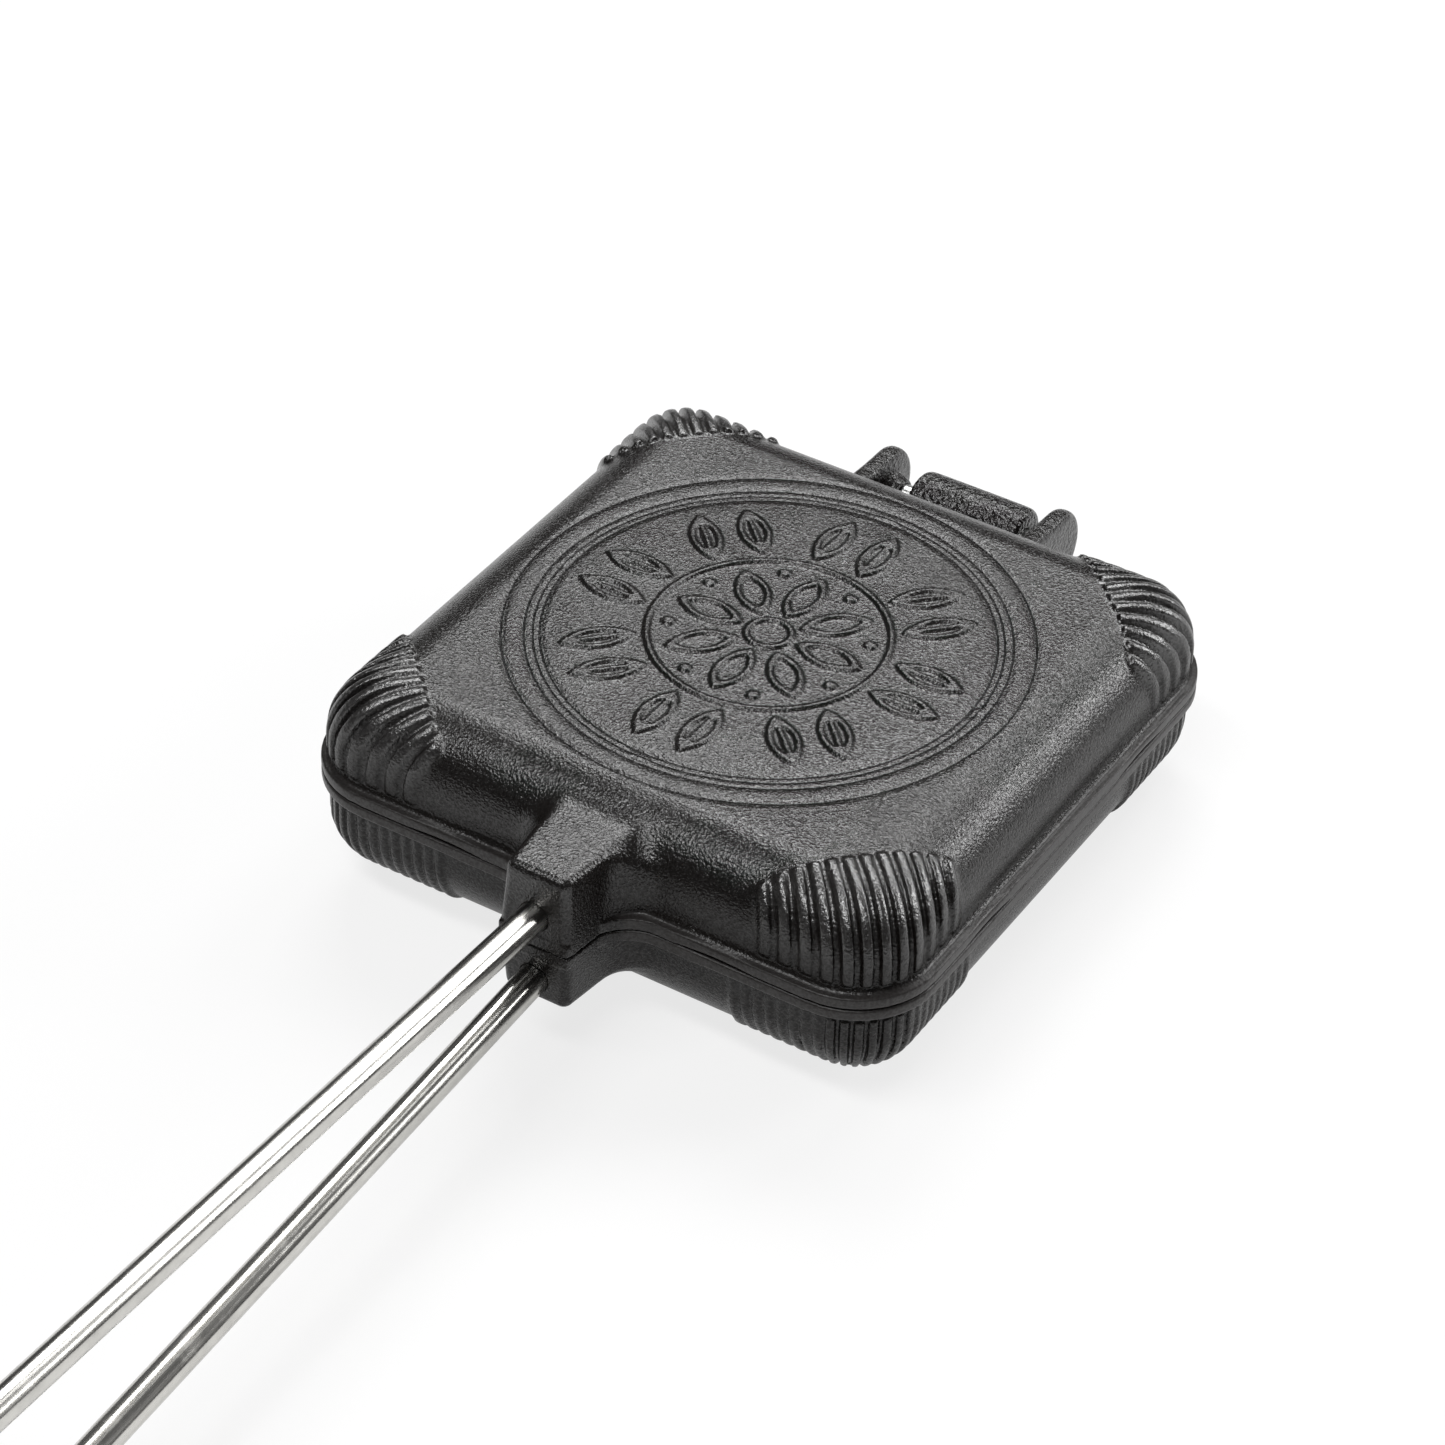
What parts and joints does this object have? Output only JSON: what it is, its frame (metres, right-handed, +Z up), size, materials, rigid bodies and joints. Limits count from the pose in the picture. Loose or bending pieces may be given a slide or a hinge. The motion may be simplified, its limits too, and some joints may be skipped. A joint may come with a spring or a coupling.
{
  "type": "cast iron sandwich iron",
  "caption": "Hinged square cast iron sandwich iron with ribbed corners, a relief rosette, long steel rods with wooden grips and a wire bail that locks the handles.",
  "frame": {"origin": "centre of the flat outer face of the lower pan", "axes": "+Z up from the lower pan to the upper pan, square to the parting plane; +Y from the handles to the hinge; X along the hinge pin"},
  "size_m": [0.132, 0.658, 0.0853],
  "materials": {
    "cast_iron": "satin, seasoned, fine sand-cast grain",
    "rod_steel": "bright drawn",
    "pin_steel": "bright",
    "fitting_steel": "satin",
    "bail_steel": "bright wire",
    "grip_wood": "oiled"
  },
  "bodies": {
    "lower_half": {"lower_shell": "cast_iron", "lower_rod": "rod_steel", "lower_ferrule": "fitting_steel", "lower_grip": "grip_wood", "lower_washer": "fitting_steel", "lower_end_cap": "fitting_steel"},
    "upper_half": {"upper_shell": "cast_iron", "hinge_pin": "pin_steel", "upper_rod": "rod_steel", "upper_ferrule": "fitting_steel", "upper_grip": "grip_wood", "upper_washer": "fitting_steel", "upper_end_cap": "fitting_steel", "latch_pin": "pin_steel"},
    "latch": {"latch_bail": "bail_steel"}
  },
  "joints": [
    {"name": "pan_hinge", "type": "hinge", "parent": "lower_half", "child": "upper_half", "pos_m": [0, 0.0782, 0.022], "axis": [-1, 0, 0], "range_deg": [0, 180]},
    {"name": "latch_swing", "type": "hinge", "parent": "upper_half", "child": "latch", "pos_m": [0, -0.56378, 0.04885], "axis": [1, 0, 0], "range_deg": [0, 262]}
  ]
}
